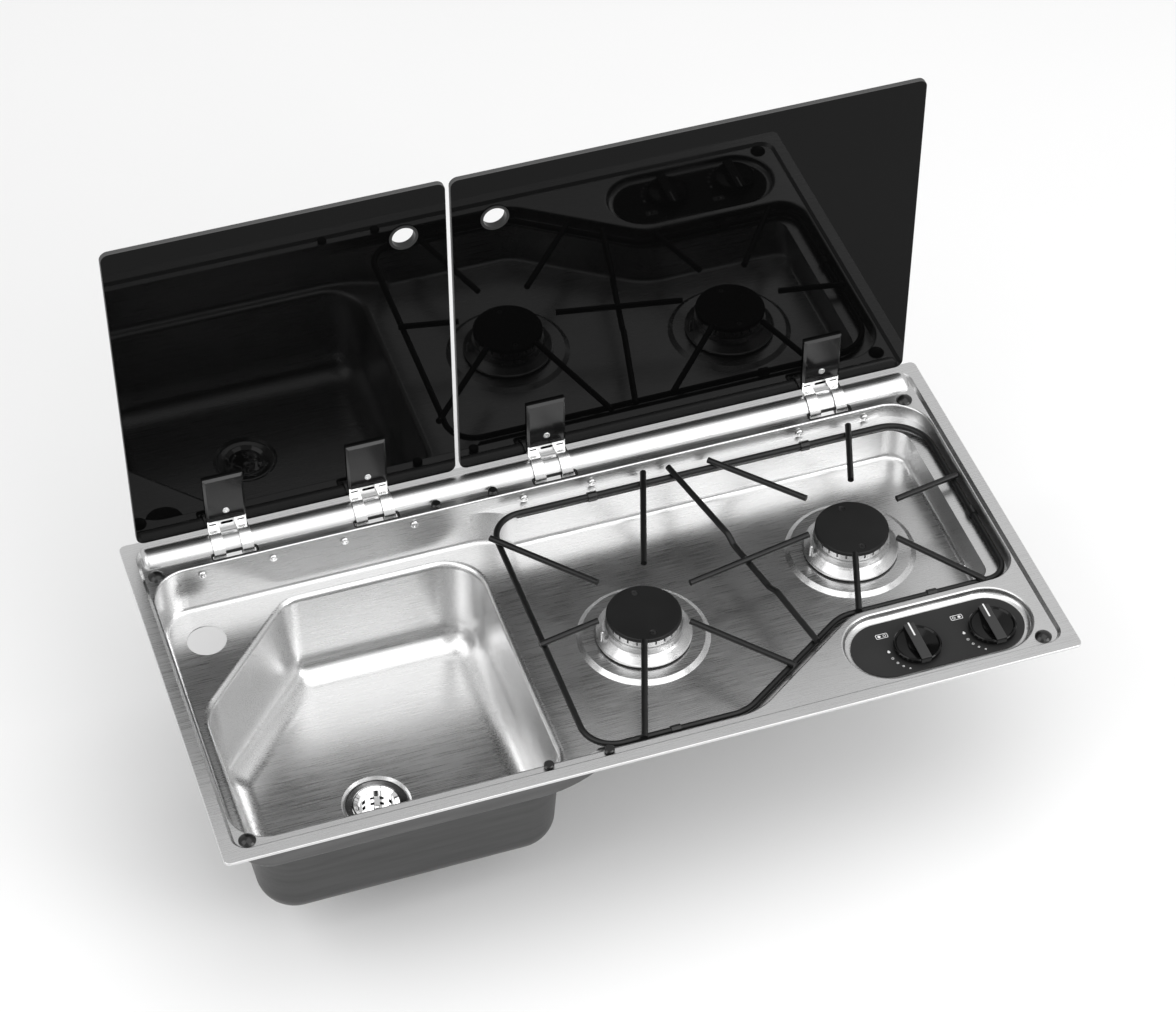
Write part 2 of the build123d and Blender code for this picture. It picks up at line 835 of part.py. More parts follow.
# each clamp: the plane across its wall, the wall's outer face, and how far its tongue reaches
reach_right = clamp_reach + shelf_width - clamp_setback
reach_back = clamp_reach + recess_front - recess_back
clamps = (
    (clamp_plane("right", 0.0), well_wall, reach_right),
    (clamp_plane("right", -90.0), well_wall, reach_right),
    (clamp_plane("back", -229.5), back_wall, reach_back),
)
stud_level = clamp_level - stud_drop
with BuildPart() as worktop_clamps:
    for plane, wall, reach in clamps:
        with BuildSketch(plane):
            add(clamp_profile(wall, reach))
        extrude(amount=clamp_width / 2, both=True)
        foot = plane.from_local_coords(Vector(wall(stud_level), stud_level, 0))
        out = plane.x_dir * stud_length
        add(rod(foot - out, foot + out, stud + stud_play), mode=Mode.SUBTRACT)
save(worktop_clamps, "worktop_clamps")

with BuildPart() as clamp_screws:
    # a stud welded to the wall, and the nut that holds the clamp on it
    for plane, wall, reach in clamps:
        lean = (wall(stud_level + 1) - wall(stud_level - 1)) / 2
        out = (plane.x_dir - plane.y_dir * lean).normalized()
        foot = plane.from_local_coords(Vector(wall(stud_level), stud_level, 0))
        add(rod(foot, foot + out * stud_length, stud))
        with BuildSketch(Plane(origin=foot + out * clamp_sheet, z_dir=out)):
            RegularPolygon(nut_radius, 6)
        extrude(amount=nut_height)
save(clamp_screws, "clamp_screws")

# ---------------------------------------------------------------- bumpers and slot liners
bumper_top = tray_level + bumper_height
with BuildPart() as corner_bumpers:
    for x, y in corner_bumper_places:
        with BuildSketch(Plane(origin=(x, y, tray_level), x_dir=(1, 0, 0), z_dir=(0, -1, 0))):
            with BuildLine():
                top = (0, bumper_height)
                TangentArc(top, (bumper_radius, bumper_skirt), tangent=(1, 0))
                Polyline(
                    top,
                    (0, -bumper_stem_length),
                    (bumper_stem - 0.3, -bumper_stem_length),
                    (bumper_stem + bumper_barb, -sheet - 0.4),
                    (bumper_stem + bumper_barb, -sheet),
                    (bumper_stem - thread_clearance, -sheet),
                    (bumper_stem - thread_clearance, 0),
                    (bumper_radius, 0),
                    (bumper_radius, bumper_skirt),
                )
            make_face()
        revolve(axis=Axis((x, y, 0), (0, 0, 1)))
save(corner_bumpers, "corner_bumpers")

with BuildPart() as stop_bumpers:
    for x, y in stop_places:
        add(turned(
            [
                (0, -bumper_stem_length),
                (stop_stem - 0.3, -bumper_stem_length),
                (stop_stem + stop_barb, -sheet - 0.4),
                (stop_stem + stop_barb, -sheet),
                (stop_stem - thread_clearance, -sheet),
                (stop_stem - thread_clearance, 0),
                (stop_foot, 0),
                (stop_foot, stop_foot_height),
                (stop_radius, stop_foot_height),
                (stop_radius, bumper_height - stop_bevel),
                (stop_radius - stop_bevel, bumper_height),
                (0, bumper_height),
            ],
            (x, y, tray_level),
        ))
save(stop_bumpers, "stop_bumpers")

with BuildPart() as slot_liners:
    for x in hinge_x:
        with BuildSketch(Plane.XY.offset(tray_level + liner_rise)):
            with Locations((x, slot_middle)):
                RectangleRounded(slot_length - 0.1, slot_width - 0.1, slot_corner)
                RectangleRounded(slot_length - 2 * liner_wall, slot_width - 2 * liner_wall,
                                 slot_corner - liner_wall, mode=Mode.SUBTRACT)
        extrude(amount=-liner_height)
save(slot_liners, "slot_liners")

# ---------------------------------------------------------------- hinges
pivot = (pivot_y, pivot_z)
across = Plane.YZ  # local x is +Y and local y is +Z
arm_inner = bead_radius + arm_gap
pin_bore = pin_radius + thread_clearance
glass_front = pivot_y - pivot_z + bumper_top + running_gap  # closed, the glass lies on the bumpers
glass_back = glass_front + glass_thickness
leaf_back = glass_front - pad_thickness
leaf_front = leaf_back - leaf_sheet
leaf_bottom = pivot_z + leaf_rise
leaf_top = leaf_bottom + leaf_height
window_level = leaf_bottom + window_rise
cover_back = glass_front - hole_clearance
cover_front = cover_back - cover_depth
cover_bottom = leaf_bottom + cover_rise
cover_top = cover_bottom + cover_height
leaf_shoulder = cover_bottom - running_gap  # top of the wide part of the leaf, under its cover
cover_screw_z = leaf_bottom + cover_screw_rise
link_start = pivot_y + pin_radius  # the flat link from the top of an arm to the leaf
ear_middle = barrel_half + ear_gap + ear_sheet / 2
wall_top = back_wall(bracket_top)
wall_bottom = back_wall(bracket_bottom)


def around_pivot(radius, angle):
    """A point at some radius and angle about the hinge pin, in the plane across it."""
    turn = math.radians(angle)
    return (pivot_y + radius * math.cos(turn), pivot_z + radius * math.sin(turn))


with BuildPart() as hinge_brackets:
    # a plate behind the back wall of the recess, with two ears for the pin
    for x in hinge_x:
        with BuildSketch(across.offset(x)):
            with BuildLine():
                Polyline(
                    (wall_top, bracket_top),
                    (wall_top + ear_sheet, bracket_top),
                    (wall_bottom + ear_sheet, bracket_bottom),
                    (wall_bottom, bracket_bottom),
                    close=True,
                )
            make_face()
        extrude(amount=bracket_half, both=True)
        for side in (-1, 1):
            with BuildSketch(across.offset(x + side * ear_middle)):
                with BuildLine():
                    Polyline(
                        (wall_top + ear_sheet / 2, bracket_top),
                        (pivot_y - ear_radius / 2, bracket_top),
                        (pivot_y, pivot_z - ear_radius),
                        (wall_bottom + ear_sheet / 2, bracket_bottom),
                        close=True,
                    )
                make_face()
                with Locations(pivot):
                    Circle(ear_radius)
                    Circle(pin_bore, mode=Mode.SUBTRACT)
            extrude(amount=ear_sheet / 2, both=True)
            hole_x = x + side * wall_screw_spacing / 2
            start = (hole_x, wall_bottom - 2 * ear_sheet, wall_screw_level)
            end = (hole_x, wall_top + 2 * ear_sheet, wall_screw_level)
            add(rod(start, end, wall_screw + hole_clearance), mode=Mode.SUBTRACT)
save(hinge_brackets, "hinge_brackets")


def arm_profile():
    """A hinge arm from the side: an arc over the bead, a web to the barrel and a link to the leaf."""
    inner_radius = arm_inner
    outer_radius = arm_inner + arm_sheet
    root = 0.8 * barrel_radius
    with BuildSketch() as profile:
        with BuildLine():
            outer = CenterArc(pivot, outer_radius, arm_start, arm_end - arm_start)
            inner = CenterArc(pivot, inner_radius, arm_start, arm_end - arm_start)
            Line(outer @ 0, inner @ 0)
            Line(outer @ 1, inner @ 1)
        make_face()
        with BuildLine():
            Polyline(
                around_pivot(root, arm_end - 2.5 * arm_foot),
                around_pivot(inner_radius + 0.2, arm_end - arm_foot),
                around_pivot(outer_radius, arm_end - arm_foot / 2),
                around_pivot(outer_radius, arm_end),
                around_pivot(root, arm_end + 1.5 * arm_foot),
                close=True,
            )
        make_face()
        with BuildLine():
            Polyline(
                (link_start, leaf_bottom),
                (leaf_back, leaf_bottom),
                (leaf_back, leaf_bottom + arm_sheet),
                (link_start, leaf_bottom + arm_sheet),
                close=True,
            )
        make_face()
    return profile.sketch


def hinge_leaf(x):
    """Leaf, two curved arms that reach down through the slot, and the barrel on the pin."""
    with BuildPart() as leaf:
        with BuildSketch(across.offset(x)):
            with Locations(pivot):
                Circle(barrel_radius)
        extrude(amount=barrel_half, both=True)
        for arm_x in (x - arm_offset, x + arm_offset):
            with BuildSketch(across.offset(arm_x)):
                add(arm_profile())
            extrude(amount=arm_width / 2, both=True)
        with BuildSketch(Plane.XZ.offset(-leaf_back)):
            with Locations((x, (leaf_bottom + leaf_shoulder) / 2)):
                Rectangle(2 * leaf_half, leaf_shoulder - leaf_bottom)
            with Locations((x, (leaf_bottom + leaf_top) / 2)):
                Rectangle(2 * leaf_neck_half, leaf_height)
            # slotted windows, and the hole of the cover's screw
            with Locations((x, window_level)):
                SlotOverall(window_length, window_height, mode=Mode.SUBTRACT)
            with Locations((x - arm_offset, window_level), (x + arm_offset, window_level)):
                SlotOverall(side_window_length, side_window_height, mode=Mode.SUBTRACT)
            with Locations((x, cover_screw_z)):
                Circle(cover_screw + thread_clearance, mode=Mode.SUBTRACT)
        extrude(amount=leaf_sheet)
        with BuildSketch(across.offset(x)):
            with Locations(pivot):
                Circle(pin_bore)
        extrude(amount=2 * barrel_half, both=True, mode=Mode.SUBTRACT)
    return leaf


def hinge_cover(x):
    """Glossy cap that hides the leaf on the glass."""
    pocket_top = leaf_top + hole_clearance
    pocket_half = leaf_neck_half + hole_clearance
    sunk = cover_front + cover_screw_sunk
    with BuildPart() as cover:
        with BuildSketch(Plane.XZ.offset(-cover_back)):
            with Locations((x, (cover_bottom + cover_top) / 2)):
                Rectangle(2 * cover_half, cover_height)
        extrude(amount=cover_depth)
        face = cover.faces().sort_by(Axis.Y)[0]
        chamfer(face.edges().sort_by(Axis.Z)[1:], cover_chamfer)
        with BuildSketch(Plane.XZ.offset(-cover_back)):
            with Locations((x, (cover_bottom + pocket_top) / 2)):
                Rectangle(2 * pocket_half, pocket_top - cover_bottom)
        extrude(amount=cover_back - leaf_front + 0.1, mode=Mode.SUBTRACT)
        start = (x, cover_front - 1, cover_screw_z)
        add(rod(start, (x, cover_back, cover_screw_z), cover_screw + 0.1), mode=Mode.SUBTRACT)
        add(rod(start, (x, sunk, cover_screw_z), cover_screw_head + 0.1), mode=Mode.SUBTRACT)
    return cover


with BuildPart() as hinge_pins:
    for x in hinge_x:
        end = ear_middle + ear_sheet / 2 + 0.1
        add(rod((x - end, pivot_y, pivot_z), (x + end, pivot_y, pivot_z), pin_radius))
        for side in (-1, 1):
            inner = (x + side * end, pivot_y, pivot_z)
            outer = (x + side * (end + pin_head), pivot_y, pivot_z)
            add(rod(inner, outer, pin_head_radius))
save(hinge_pins, "hinge_pins")

for number, x in enumerate(hinge_x, 1):
    save(hinge_leaf(x), f"hinge_leaf_{number}")
    save(hinge_cover(x), f"hinge_cover_{number}")

with BuildPart() as wall_screws:
    # their heads stand clear of the leaning wall
    lean = tray_level - wall_screw_level + wall_screw_head
    face = recess_back - lean * math.tan(math.radians(draft)) - thread_clearance
    for x in hinge_x:
        for hole_x in (x - wall_screw_spacing / 2, x + wall_screw_spacing / 2):
            start = (hole_x, face, wall_screw_level)
            end = (hole_x, face + wall_screw_length, wall_screw_level)
            add(pan_head_screw(start, end, wall_screw, wall_screw_head, wall_screw_head_height))
save(wall_screws, "wall_screws")

# ---------------------------------------------------------------- glass lids
glass_bottom = pivot_z + glass_rise
glass_top = pivot_z + pivot_y + rim_end - glass_front_inset  # closed, this edge lies in front
glass_side = rim_side - glass_side_inset
finger_hole_z = glass_top - finger_hole_drop
pad_bottom = leaf_bottom + pad_rise
lids = (
    ("left", -glass_side, lid_split[0], hinge_x[:2], finger_hole_x[0]),
    ("right", lid_split[1], glass_side, hinge_x[2:], finger_hole_x[1]),
)
for name, lid_left, lid_right, hinges, hole_x in lids:
    def hole_point(y):
        """A point on the axis of the finger hole."""
        return (hole_x, y, finger_hole_z)

    with BuildPart() as glass:
        with BuildSketch(Plane.XZ.offset(-glass_back)):
            with Locations(((lid_left + lid_right) / 2, (glass_bottom + glass_top) / 2)):
                RectangleRounded(lid_right - lid_left, glass_top - glass_bottom, glass_corner)
        extrude(amount=glass_thickness)
        faces = glass.faces().sort_by(Axis.Y)
        chamfer(faces[0].edges() + faces[-1].edges(), glass_bevel)
        add(rod(hole_point(glass_front - 1), hole_point(glass_back + 1), grommet_hole + thread_clearance),
            mode=Mode.SUBTRACT)
    save(glass, f"lid_glass_{name}")

    with BuildPart() as grommet:
        add(rod(hole_point(glass_front - grommet_flange), hole_point(glass_front), grommet_outer))
        add(rod(hole_point(glass_front), hole_point(glass_back), grommet_hole))
        add(rod(hole_point(glass_back), hole_point(glass_back + grommet_flange), grommet_outer))
        reach = 2 * grommet_flange
        add(rod(hole_point(glass_front - reach), hole_point(glass_back + reach), grommet_inner),
            mode=Mode.SUBTRACT)
    save(grommet, f"lid_grommet_{name}")

    with BuildPart() as pads:
        for x in hinges:
            with BuildSketch(Plane.XZ.offset(-glass_front)):
                with Locations((x, (pad_bottom + leaf_top) / 2)):
                    Rectangle(2 * leaf_neck_half, leaf_top - pad_bottom)
            extrude(amount=pad_thickness)
    save(pads, f"hinge_pads_{name}")

    with BuildPart() as cover_screws:
        for x in hinges:
            start = (x, cover_front + cover_screw_sunk, cover_screw_z)
            end = (x, leaf_back - 0.1, cover_screw_z)
            add(pan_head_screw(start, end, cover_screw, cover_screw_head, cover_screw_head_height))
    save(cover_screws, f"cover_screws_{name}")

# ---------------------------------------------------------------- burners
seal_inner = burner_hole + hole_clearance
seal_outer = seal_inner + seal_thickness
skirt_radius = seal_outer + running_gap
skirt_bottom = ring_level + seal_height
cup_bottom = floor_level - cup_depth
seat_level = skirt_bottom + spreader_rise
spreader_top = seat_level + spreader_height
cap_top = spreader_top + cap_thickness
probe_x = -(cup_radius + probe_gap + probe_radius)  # from the burner's axis
lug_level = floor_level - lug_drop
pipe_level = cup_bottom - pipe_drop
countersink = math.tan(math.radians(countersink_angle / 2))  # how much it narrows per mm of depth

with BuildPart() as burner_seals:
    for x, y in zip(burner_x, burner_y):
        with Locations((x, y, ring_level)):
            Cylinder(seal_outer, seal_height, align=standing)
            Hole(seal_inner)
save(burner_seals, "burner_seals")


def burner_body(x, y):
    """Cast body of a burner: the skirt over the deck and the mixing cup under it."""
    lug_x, lug_y = x + probe_x, y + probe_y
    lug_root = x - cup_radius + lug_thickness
    with BuildPart() as body:
        add(turned(
            [
                (cup_inlet, cup_bottom),
                (cup_foot, cup_bottom),
                (cup_radius, cup_bottom + cup_chamfer),
                (cup_radius, skirt_bottom),
                (skirt_radius, skirt_bottom),
                (skirt_radius, skirt_bottom + 1.4),
                (skirt_radius - 1.2, skirt_bottom + 2.0),
                (cup_radius + 1.6, skirt_bottom + 6.4),
                (cup_radius - 0.2, skirt_bottom + 8.2),
                (spreader_radius + 2.2, seat_level + 0.6),
                (spreader_radius + 0.8, seat_level + 0.6),
                (spreader_radius + 0.8, seat_level),
                (spreader_bore - 1.0, seat_level),
                (spreader_bore - 1.0, seat_level - 6.0),
                (cup_inlet, cup_bottom + 20.0),
            ],
            (x, y, 0),
        ))
        # lug that holds the flame sensor beside the cup
        with Locations(((lug_root + lug_x) / 2, lug_y, lug_level)):
            Box(lug_root - lug_x, 2 * lug_radius, lug_thickness)
        with Locations((lug_x, lug_y, lug_level)):
            Cylinder(lug_radius, lug_thickness)
        add(rod((lug_x, lug_y, cup_bottom), (lug_x, lug_y, cap_top), probe_radius + thread_clearance),
            mode=Mode.SUBTRACT)
    return body


def spreader(x, y):
    """Flame spreader: a ring with a slot for each flame."""
    with BuildPart() as ring:
        with Locations((x, y, seat_level)):
            Cylinder(spreader_radius, spreader_height, align=standing)
            Cylinder(spreader_bore, spreader_height, align=standing, mode=Mode.SUBTRACT)
            with Locations((0, 0, spreader_height - port_height)):
                with PolarLocations(spreader_radius, port_count):
                    Box(port_depth, port_width, port_height, align=standing, mode=Mode.SUBTRACT)
        for screw_y in (y - cap_screw_place, y + cap_screw_place):
            with Locations((x, screw_y, spreader_top)):
                Hole(cap_screw + thread_clearance, cap_screw_length - 2.0)
    return ring


def burner_cap(x, y):
    """Enamelled cap with two countersunk screws."""
    with BuildPart() as cap:
        add(turned(
            [
                (0, spreader_top),
                (cap_radius - 1.4, spreader_top),
                (cap_radius, spreader_top + 0.8),
                (cap_radius, cap_top - 1.5),
                (cap_radius - 0.4, cap_top - 0.7),
                (cap_radius - 1.3, cap_top),
                (0, cap_top),
            ],
            (x, y, 0),
        ))
        for screw_y in (y - cap_screw_place, y + cap_screw_place):
            with Locations((x, screw_y, cap_top)):
                CounterSinkHole(cap_screw + 0.1, cap_screw_head + 0.1 + cap_screw_sunk * countersink)
    return cap


with BuildPart() as cap_screws:
    head_top = cap_top - cap_screw_sunk
    head_bottom = head_top - (cap_screw_head - cap_screw) / countersink
    socket = 0.8
    for x, y in zip(burner_x, burner_y):
        for screw_y in (y - cap_screw_place, y + cap_screw_place):
            add(turned(
                [
                    (0, cap_top - cap_screw_length),
                    (cap_screw, cap_top - cap_screw_length),
                    (cap_screw, head_bottom),
                    (cap_screw_head, head_top),
                    (1.5 * socket, head_top),
                    (1.5 * socket, head_top - socket),
                    (0, head_top - socket),
                ],
                (x, screw_y, 0),
            ))
save(cap_screws, "cap_screws")


def injector(x, y):
    """Injector holder under the cup, with its jet and the boss for the gas pipe."""
    holder_bottom = cup_bottom - injector_height
    with BuildPart() as holder:
        add(turned(
            [
                (0, holder_bottom),
                (injector_radius, holder_bottom),
                (injector_radius, cup_bottom),
                (jet_radius, cup_bottom),
                (jet_radius, cup_bottom + 4.0),
                (0.5 * jet_radius, cup_bottom + 6.0),
                (0, cup_bottom + 6.0),
            ],
            (x, y, 0),
        ))
        start = (x, y - injector_radius / 2, pipe_level)
        add(rod(start, (x, y - boss_reach, pipe_level), boss_radius))
    return holder


def flame_sensor(x, y):
    """Flame sensor: a steel pin with a rounded tip and its nut under the lug."""
    low = floor_level - probe_drop
    high = floor_level + probe_rise - probe_radius
    with BuildPart() as probe:
        with Locations((x, y, low)):
            Cylinder(probe_radius, high - low, align=standing)
        with Locations((x, y, high)):
            Sphere(probe_radius)
        with BuildSketch(Plane.XY.offset(lug_level - lug_thickness / 2)):
            with Locations((x, y)):
                RegularPolygon(nut_radius, 6)
        extrude(amount=-nut_height)
    return probe


for name, x, y in zip(sides, burner_x, burner_y):
    save(burner_body(x, y), f"burner_body_{name}")
    save(spreader(x, y), f"burner_spreader_{name}")
    save(burner_cap(x, y), f"burner_cap_{name}")
    save(injector(x, y), f"injector_holder_{name}")
    save(flame_sensor(x + probe_x, y + probe_y), f"thermocouple_{name}")

# ---------------------------------------------------------------- controls and gas parts
panel_top = pocket_level + panel_thickness
knob_bottom = panel_top + knob_push + running_gap
knob_rim = knob_bottom + knob_height
dish_level = knob_rim - knob_dish
shaft_top = knob_bottom + shaft_grip
shaft_bottom = shaft_top - shaft_length
tap_level = pocket_level - tap_drop
tap_top = tap_level + tap_half_height
tap_front = knob_y - tap_half_depth
tap_back = knob_y + tap_half_depth

with BuildPart() as control_panel:
    with BuildSketch(Plane.XY.offset(pocket_level)):
        with Locations((sum(control_x) / 2, control_y)):
            SlotCenterToCenter(control_x[1] - control_x[0], 2 * (pocket_radius - panel_inset))
        with Locations(*[(x, knob_y) for x in knob_x]):
            Circle(collar_radius + 2 * hole_clearance, mode=Mode.SUBTRACT)
    extrude(amount=panel_thickness)
save(control_panel, "control_panel")


def gas_tap(x):
    """Tap body with the collar that passes through the deck."""
    with BuildPart() as tap:
        with Locations((x, knob_y, tap_level)):
            Box(2 * tap_half_width, 2 * tap_half_depth, 2 * tap_half_height)
        fillet(tap.edges().filter_by(Axis.Z), tap_corner)
        with Locations((x, knob_y, tap_top)):
            Cylinder(collar_radius, pocket_level - tap_top, align=standing)
        with Locations((x, knob_y, pocket_level)):
            Hole(shaft_radius + shaft_clearance, pocket_level - shaft_bottom + knob_push + 1.0)
    return tap


def tap_shaft(x):
    """Spindle of the tap."""
    with BuildPart() as shaft:
        with Locations((x, knob_y, shaft_bottom)):
            Cylinder(shaft_radius, shaft_length, align=standing)
    return shaft


def push_washer(x):
    """Sprung washer under the knob, which goes down with the spindle."""
    with BuildPart() as washer:
        with Locations((x, knob_y, knob_bottom - 0.1)):
            Cylinder(collar_radius - 2 * hole_clearance, washer_thickness, align=hanging)
            Hole(shaft_radius + 2 * shaft_clearance)
    return washer


def knob(x):
    """Knob: a dished disc with a bar across it as a grip and pointer."""
    with BuildPart() as grip:
        add(turned(
            [
                (0, knob_bottom),
                (knob_radius - 0.5, knob_bottom),
                (knob_radius, knob_bottom + 0.5),
                (knob_radius, knob_rim - 0.8),
                (knob_radius - 0.8, knob_rim),
                (knob_radius - 1.6, knob_rim),
                (knob_radius - 3.0, knob_rim - 1.2),
                (2 * shaft_radius, dish_level),
                (0, dish_level),
            ],
            (x, knob_y, 0),
        ))
        # the bar starts inside the disc and narrows upwards
        sunk = 0.5
        with BuildSketch(Plane.XY.offset(dish_level - sunk)):
            with Locations((x, knob_y)):
                RectangleRounded(bar_width, bar_length, 1.0)
        extrude(amount=knob_dish + knob_bar + sunk, taper=bar_taper)
        fillet(grip.edges().group_by(Axis.Z)[-1], 0.5)
        bore_top = (x, knob_y, shaft_top + hole_clearance)
        add(rod((x, knob_y, knob_bottom), bore_top, shaft_radius + 0.02), mode=Mode.SUBTRACT)
    return grip


for name, x in zip(sides, knob_x):
    save(gas_tap(x), f"gas_tap_{name}")
    save(tap_shaft(x), f"tap_shaft_{name}")
    save(push_washer(x), f"push_washer_{name}")
    save(knob(x), f"knob_{name}")

rail_y = tap_front - rail_gap - rail_radius
rail_end = knob_x[1] + rail_overhang
with BuildPart() as gas_rail:
    add(rod((knob_x[0] - rail_overhang, rail_y, tap_level), (rail_end, rail_y, tap_level), rail_radius))
    for x in knob_x:
        add(rod((x, rail_y, tap_level), (x, tap_front, tap_level), rail_radius - 1.0))
save(gas_rail, "gas_rail")

inlet_x = rim_side - inlet_inset
inlet_level = tap_level - inlet_drop
inlet_end = rail_y + inlet_length
with BuildPart() as gas_inlet:
    # the pipe drops below the clamps on its way back
    route = [
        (rail_end, rail_y, tap_level),
        (inlet_x, rail_y, tap_level),
        (inlet_x, rail_y + inlet_drop_start, tap_level),
        (inlet_x, rail_y + inlet_drop_end, inlet_level),
        (inlet_x, inlet_end, inlet_level),
    ]
    add(bent_rod(route, [inlet_bend, inlet_bend_drop, inlet_bend_drop], inlet_radius))
    nut_start = inlet_end - inlet_tail - inlet_nut_length
    with BuildSketch(Plane.XZ.offset(-nut_start)):
        with Locations((inlet_x, inlet_level)):
            RegularPolygon(inlet_nut_radius, 6)
    extrude(amount=-inlet_nut_length)
save(gas_inlet, "gas_inlet")

drop_y = tap_back + pipe_start
for name, tap_x, x, y in zip(sides, knob_x, burner_x, burner_y):
    boss_y = y - boss_reach
    route = [
        (tap_x, tap_back, tap_level),
        (tap_x, drop_y, tap_level),
        (tap_x, drop_y, pipe_level),
        (x, boss_y - pipe_end, pipe_level),
        (x, boss_y, pipe_level),
    ]
    with BuildPart() as pipe:
        add(bent_rod(route, pipe_bend, pipe_radius))
    save(pipe, f"burner_pipe_{name}")

# ---------------------------------------------------------------- pan support
# welded wire grid: a loop, fingers that point at the burners and a bar between them
loop_level = shelf_level + loop_rise
finger_level = tray_level - finger_drop
loop_right = recess_side - loop_gap_right
loop_back = recess_back - loop_gap_back
loop_front = -(recess_front - loop_gap_front)
loop_control = -(control_edge - loop_gap_control)
loop_corners = (
    (loop_left, loop_front),
    (loop_bend_front, loop_front),
    (loop_bend_back, loop_control),
    (loop_right, loop_control),
    (loop_right, loop_back),
    (loop_left, loop_back),
)
loop_radii = [loop_round, loop_round_diagonal, loop_round_diagonal, loop_round_control,
              loop_round_diagonal, loop_round]


def to_loop(x, y, angle, overhang):
    """The end of a rod that leaves a point at some angle and reaches past the loop."""
    step = Vector(math.cos(math.radians(angle)), math.sin(math.radians(angle)))
    start = Vector(x, y)
    lengths = []
    for (x1, y1), (x2, y2) in zip(loop_corners, loop_corners[1:] + loop_corners[:1]):
        side = Vector(x2 - x1, y2 - y1)
        corner = Vector(x1, y1) - start
        slant = step.cross(side).Z
        # outwards through this side, between its two ends
        if slant > 0 and 0 <= corner.cross(step).Z <= slant:
            lengths.append(corner.cross(side).Z / slant)
    end = start + step * (min(lengths) + overhang)
    return (end.X, end.Y, finger_level)


burners = [Vector(x, y, finger_level) for x, y in zip(burner_x, burner_y)]
with BuildPart() as pan_support:
    add(bent_rod([(x, y, loop_level) for x, y in loop_corners], loop_radii, rod_radius, close=True))
    for centre, fingers in zip(burners, (left_fingers, right_fingers)):
        for angle, overhang in fingers:
            end = Vector(*to_loop(centre.X, centre.Y, angle, overhang))
            tip = centre + (end - centre).normalized() * finger_tip
            add(rod(tip, end, rod_radius))
    # finger that joins the two burners
    along = (burners[1] - burners[0]).normalized()
    add(rod(burners[0] + along * finger_tip, burners[1] - along * finger_tip, rod_radius))
    # cross bar, which dips under it
    dip_back, low_back, low_front, dip_front = bar_dip
    route = [
        to_loop(*dip_back, bar_turn_back, bar_overhang_back),
        (*dip_back, finger_level),
        (*low_back, loop_level),
        (*low_front, loop_level),
        (*dip_front, finger_level),
        to_loop(*dip_front, bar_turn_front, bar_overhang_front),
    ]
    add(bent_rod(route, bar_bend, rod_radius))
save(pan_support, "pan_support")

# each foot: its place on the loop, and the half length of its rod along X and Y
half = foot_length / 2
feet = (
    (43.7, loop_back, half, 0),
    (260.0, loop_back, half, 0),
    (loop_right, 0.0, 0, half),
    (20.0, loop_front, half, 0),
    (300.0, loop_control, half, 0),
)
with BuildPart() as support_feet:
    for x, y, half_x, half_y in feet:
        start = (x - half_x, y - half_y, loop_level)
        end = (x + half_x, y + half_y, loop_level)
        width_x, width_y = (foot_length, foot_width) if half_x else (foot_width, foot_length)
        with Locations((x, y, shelf_level + foot_gap)):
            Box(width_x, width_y, loop_rise - foot_gap, align=standing)
        add(rod(start, end, rod_radius + foot_wall))
        add(rod(start, end, rod_radius + foot_clearance), mode=Mode.SUBTRACT)
save(support_feet, "support_feet")
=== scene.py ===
# %% [markdown]
# # A caravan hob and sink under two glass lids
# A built-in steel unit has a sink bowl on the left and two gas burners on the right, and two black
# glass lids stand up behind them. The measured model comes with its pieces in place, so this
# lesson is about surfaces: brushed steel, polished steel, enamel, gloss plastic and glass, and the
# few fine details that are too small for the measured model. Everything is in metres.

# %% Load the measured model
import json
import math

import bmesh
import bpy
from mathutils import Matrix, Vector


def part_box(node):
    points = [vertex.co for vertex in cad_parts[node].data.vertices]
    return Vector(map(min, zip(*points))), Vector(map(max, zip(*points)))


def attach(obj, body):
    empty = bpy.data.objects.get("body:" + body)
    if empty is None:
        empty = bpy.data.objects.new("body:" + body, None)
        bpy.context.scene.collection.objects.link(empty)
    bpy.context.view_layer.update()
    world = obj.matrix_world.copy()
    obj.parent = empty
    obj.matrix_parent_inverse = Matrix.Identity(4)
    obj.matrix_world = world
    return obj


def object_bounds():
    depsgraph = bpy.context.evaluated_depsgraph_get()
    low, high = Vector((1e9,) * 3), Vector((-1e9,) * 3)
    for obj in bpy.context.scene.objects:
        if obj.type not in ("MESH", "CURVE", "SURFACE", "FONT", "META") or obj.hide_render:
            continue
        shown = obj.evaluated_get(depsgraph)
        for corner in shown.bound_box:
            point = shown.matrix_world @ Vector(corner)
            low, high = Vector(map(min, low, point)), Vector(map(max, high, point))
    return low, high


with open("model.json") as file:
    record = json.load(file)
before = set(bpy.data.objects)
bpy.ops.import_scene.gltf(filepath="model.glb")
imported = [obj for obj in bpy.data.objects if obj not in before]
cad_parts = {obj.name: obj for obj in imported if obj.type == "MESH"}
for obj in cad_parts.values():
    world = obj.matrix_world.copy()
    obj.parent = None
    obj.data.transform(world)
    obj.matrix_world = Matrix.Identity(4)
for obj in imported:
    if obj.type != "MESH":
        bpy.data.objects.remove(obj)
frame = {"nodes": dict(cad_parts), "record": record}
cad_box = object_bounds()
print("pieces:", len(frame["nodes"]))
print("box:", [round(v, 3) for v in cad_box[1] - cad_box[0]])

MM = 0.001
HOB = "hob_and_sink"

# %% [markdown]
# ## Sums on a surface
# A finish is a network of shader nodes. Wiring each sum by hand makes long code that is hard to
# read, so one small class wraps an output and lets Python's own operators add the Math nodes:
# `0.12 + bar * 0.33` reads as it is meant. Everything else, such as noise or a ramp, comes from
# the one method `add`, which sets a node's options first and then its inputs.


